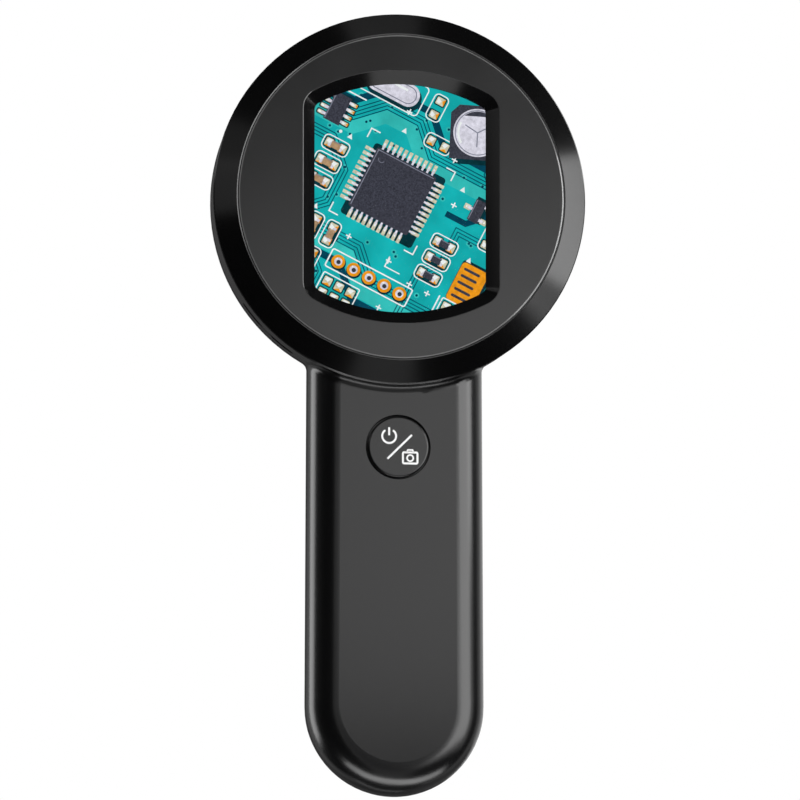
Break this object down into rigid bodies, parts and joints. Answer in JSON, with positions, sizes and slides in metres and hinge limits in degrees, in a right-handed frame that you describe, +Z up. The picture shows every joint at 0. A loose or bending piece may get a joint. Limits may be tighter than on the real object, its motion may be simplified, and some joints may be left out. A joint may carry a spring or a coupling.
{
  "type": "handheld digital microscope",
  "caption": "Handheld digital microscope: round display head on a flaring handle with a round key, and a focusing ring, ring light and clear contact hood behind the head.",
  "frame": {"origin": "on the optical axis, in the plane of the contact hood's mouth, where the specimen lies", "axes": "+Z up the handle to the top of the head, +Y along the optical axis out of the hood, so the display faces -Y; +X to the right when the display is seen from the front"},
  "size_m": [0.0674, 0.026, 0.1409],
  "materials": {
    "housing_black": "satin black moulded plastic",
    "bezel_black": "polished black plastic",
    "plate_black": "fine matt black plastic",
    "window_clear": "clear window",
    "gasket_foam": "black foam",
    "lcd_glass": "dark display glass",
    "backlight_white": "white backlight frame",
    "flex_amber": "amber flexible circuit",
    "bracket_grey": "dark grey moulded plastic",
    "board_green": "green solder mask",
    "chip_black": "moulded chip package",
    "component_grey": "small board components",
    "socket_steel": "plated steel shell",
    "tongue_black": "connector tongue",
    "screw_steel": "dark plated steel screws",
    "button_black": "satin black key",
    "switch_black": "switch plunger",
    "cell_foil": "foil pouch",
    "plug_white": "white connector",
    "lead_rubber": "insulated wire",
    "lens_glass": "coated optical glass",
    "optics_black": "matt black optics plastic",
    "peg_steel": "ground steel",
    "retainer_black": "black anodised ring",
    "grip_black": "fluted satin grip",
    "felt_grey": "felt",
    "carrier_black": "lamp carrier",
    "board_white": "white solder mask",
    "led_lamp": "white LED with yellow phosphor",
    "pin_gold": "gilt pins",
    "diffuser_milk": "milky diffuser",
    "hood_clear": "clear polycarbonate"
  },
  "bodies": {
    "housing": {"front_housing": "housing_black", "rear_cover": "housing_black", "housing_screws": "screw_steel", "bezel_ring": "bezel_black", "face_plate": "plate_black", "display_window": "window_clear", "window_gasket": "gasket_foam", "lcd_panel": "lcd_glass", "backlight_frame": "backlight_white", "display_flex": "flex_amber", "display_bracket": "bracket_grey", "main_board": "board_green", "processor_chip": "chip_black", "memory_chip": "chip_black", "power_parts": "component_grey", "card_socket": "socket_steel", "usb_shell": "socket_steel", "usb_tongue": "tongue_black", "board_screws": "screw_steel", "switch_body": "socket_steel", "button_board": "board_green", "button_flex": "flex_amber", "battery_cell": "cell_foil", "battery_pad": "gasket_foam", "battery_plug": "plug_white", "battery_leads": "lead_rubber", "image_sensor": "chip_black", "sensor_glass": "lens_glass", "lens_guide": "optics_black", "guide_screws": "screw_steel", "drag_ring": "felt_grey", "led_carrier": "carrier_black", "led_board": "board_white", "leds": "led_lamp", "led_pins": "pin_gold", "light_diffuser": "diffuser_milk", "contact_hood": "hood_clear"},
    "button": {"button_cap": "button_black"},
    "plunger": {"switch_plunger": "switch_black"},
    "focus_ring": {"focus_grip": "grip_black", "cam_sleeve": "optics_black"},
    "lens_carriage": {"lens_cell": "optics_black", "guide_pegs": "peg_steel", "front_lens": "lens_glass", "rear_lens": "lens_glass", "lens_retainer": "retainer_black"}
  },
  "joints": [
    {"name": "button_press", "type": "slide", "parent": "housing", "child": "button", "axis": [0, 1, 0], "range_m": [0, 0.0004], "stiffness_N_per_m": 2500, "springref_m": -0.0003},
    {"name": "plunger_slide", "type": "slide", "parent": "housing", "child": "plunger", "axis": [0, 1, 0], "range_m": [0, 0.0004]},
    {"name": "focus_turn", "type": "hinge", "parent": "housing", "child": "focus_ring", "pos_m": [0, 0, 0], "axis": [0, 1, 0], "range_deg": [-75, 75]},
    {"name": "lens_slide", "type": "slide", "parent": "housing", "child": "lens_carriage", "axis": [0, 1, 0], "range_m": [-0.0015, 0.0015]}
  ],
  "couplings": [
    {"joint": "plunger_slide", "follows": "button_press", "ratio": 1},
    {"joint": "lens_slide", "follows": "focus_turn", "m_per_rad": -0.0011459}
  ]
}
